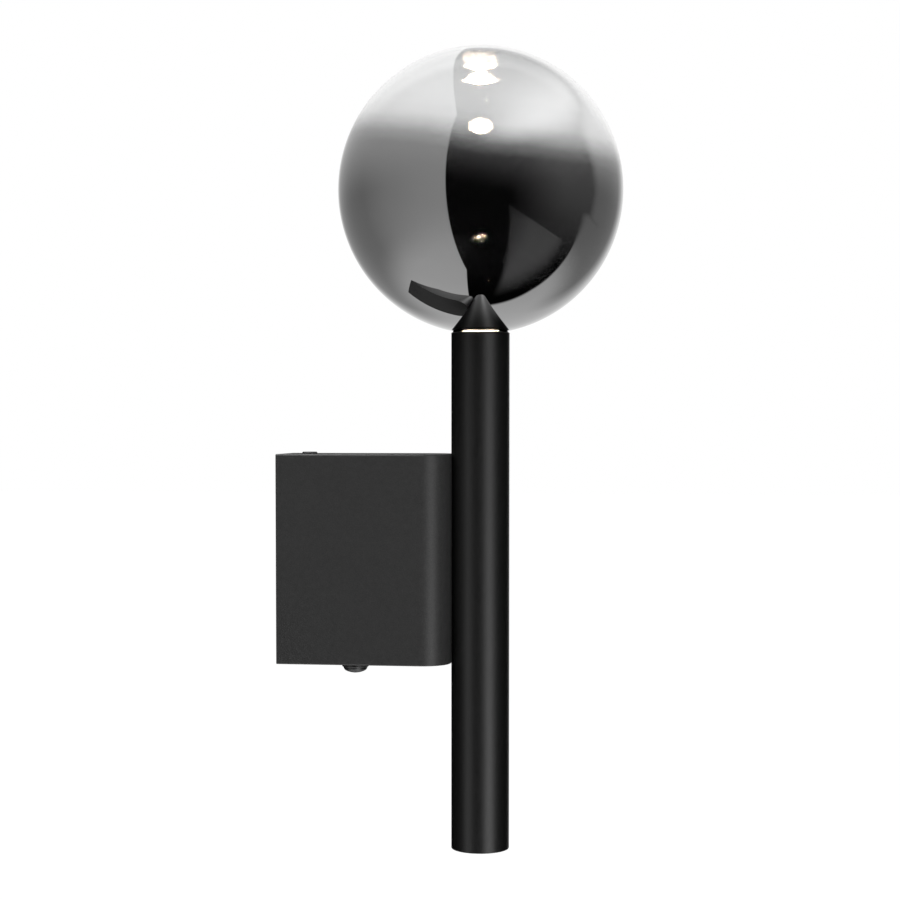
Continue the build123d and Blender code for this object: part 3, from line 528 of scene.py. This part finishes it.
def make_world():
    world = bpy.data.worlds.new("studio")
    bpy.context.scene.world = world
    world.use_nodes = True
    graph = Graph(world.node_tree)
    x, y, z = graph.split(graph.node("TexCoord").outputs["Generated"])
    azimuth = graph.math("DEGREES", graph.math("ARCTAN2", x, graph.math("MULTIPLY", y, -1.0)))
    elevation = graph.math("DEGREES", graph.math("ARCSINE", z))
    mirror = mirror_studio(graph, x, y, z, azimuth, elevation)
    paint = studio_sum(graph, azimuth, elevation, PAINT_PANELS)
    path = graph.node("LightPath")
    level = blend_value(graph, path.outputs["Is Glossy Ray"], AMBIENT, paint)
    sharp = graph.math("MAXIMUM", path.outputs["Is Singular Ray"], path.outputs["Is Transmission Ray"])
    level = blend_value(graph, sharp, level, mirror)
    level = blend_value(graph, path.outputs["Is Camera Ray"], level, 1.0)
    background = graph.node("Background")
    graph.link(level, background.inputs["Strength"])
    background.inputs["Color"].default_value = (1.0, 1.0, 1.0, 1.0)
    output = graph.node("OutputWorld")
    graph.link(background.outputs[0], output.inputs["Surface"])


AMBIENT = 0.25


def blend_value(graph, factor, first, second):
    made = graph.node("Mix", data_type="FLOAT")
    graph.link(factor, made.inputs[0])
    graph.link(first, made.inputs[2])
    graph.link(second, made.inputs[3])
    return made.outputs[0]


def soft_light(name, place, target, size, power):
    data = bpy.data.lights.new(name, "AREA")
    data.shape = "RECTANGLE"
    data.size = size[0]
    data.size_y = size[1]
    data.energy = power
    light = bpy.data.objects.new(name, data)
    light.location = place
    light.rotation_euler = (Vector(target) - Vector(place)).to_track_quat("-Z", "Y").to_euler()
    light.visible_glossy = False
    light.visible_transmission = False
    light.visible_camera = False
    bpy.context.scene.collection.objects.link(light)
    return light


def make_floor():
    mesh = bpy.data.meshes.new("floor")
    half = 30.0
    mesh.from_pydata([(-half, -half, FLOOR_HEIGHT), (half, -half, FLOOR_HEIGHT),
                      (half, half, FLOOR_HEIGHT), (-half, half, FLOOR_HEIGHT)], [], [(0, 1, 2, 3)])
    floor = bpy.data.objects.new("floor", mesh)
    bpy.context.scene.collection.objects.link(floor)
    material, graph, shader = new_material("pale_floor")
    shader.inputs["Base Color"].default_value = grey(0.9)
    shader.inputs["Roughness"].default_value = 0.9
    shader.inputs["Specular IOR Level"].default_value = 0.0
    shader.inputs["Emission Color"].default_value = grey(1.0)
    path = graph.node("LightPath")
    graph.link(graph.math("MULTIPLY", path.outputs["Is Camera Ray"], FLOOR_GLOW), shader.inputs["Emission Strength"])
    mesh.materials.append(material)
    floor.visible_glossy = False
    floor.visible_transmission = False


FLOOR_HEIGHT = -1.1
FLOOR_GLOW = 0.80

make_world()
make_floor()
middle = (0.06, 0.0, 0.05)
soft_light("key_light", (0.95, -1.35, 0.9), middle, (0.9, 0.9), 14.0)
soft_light("fill_light", (-1.1, -1.2, 0.7), middle, (0.9, 0.9), 9.0)
soft_light("back_light", (0.3, 1.7, 1.1), middle, (1.0, 1.0), 10.0)


# ---- Camera ----
def make_camera():
    data = bpy.data.cameras.new("camera")
    data.sensor_width = SENSOR
    data.lens = FOCAL_PIXELS * SENSOR / PICTURE_SIZE
    data.shift_y = (CENTRE_ROW - PICTURE_SIZE / 2) / PICTURE_SIZE
    data.clip_start = 0.01
    data.clip_end = 100.0
    camera = bpy.data.objects.new("camera", data)
    forward = Vector((sin(CAMERA_YAW) * cos(CAMERA_PITCH), cos(CAMERA_YAW) * cos(CAMERA_PITCH), sin(CAMERA_PITCH)))
    camera.location = CAMERA_PLACE
    camera.rotation_euler = forward.to_track_quat("-Z", "Y").to_euler()
    bpy.context.scene.collection.objects.link(camera)
    bpy.context.scene.camera = camera


make_camera()
scene = bpy.context.scene
scene.view_settings.view_transform = "Standard"
scene.cycles.caustics_reflective = False
scene.cycles.caustics_refractive = False
scene.cycles.sample_clamp_indirect = 0.0
scene.cycles.max_bounces = 24
scene.cycles.glossy_bounces = 12
scene.cycles.transmission_bounces = 24
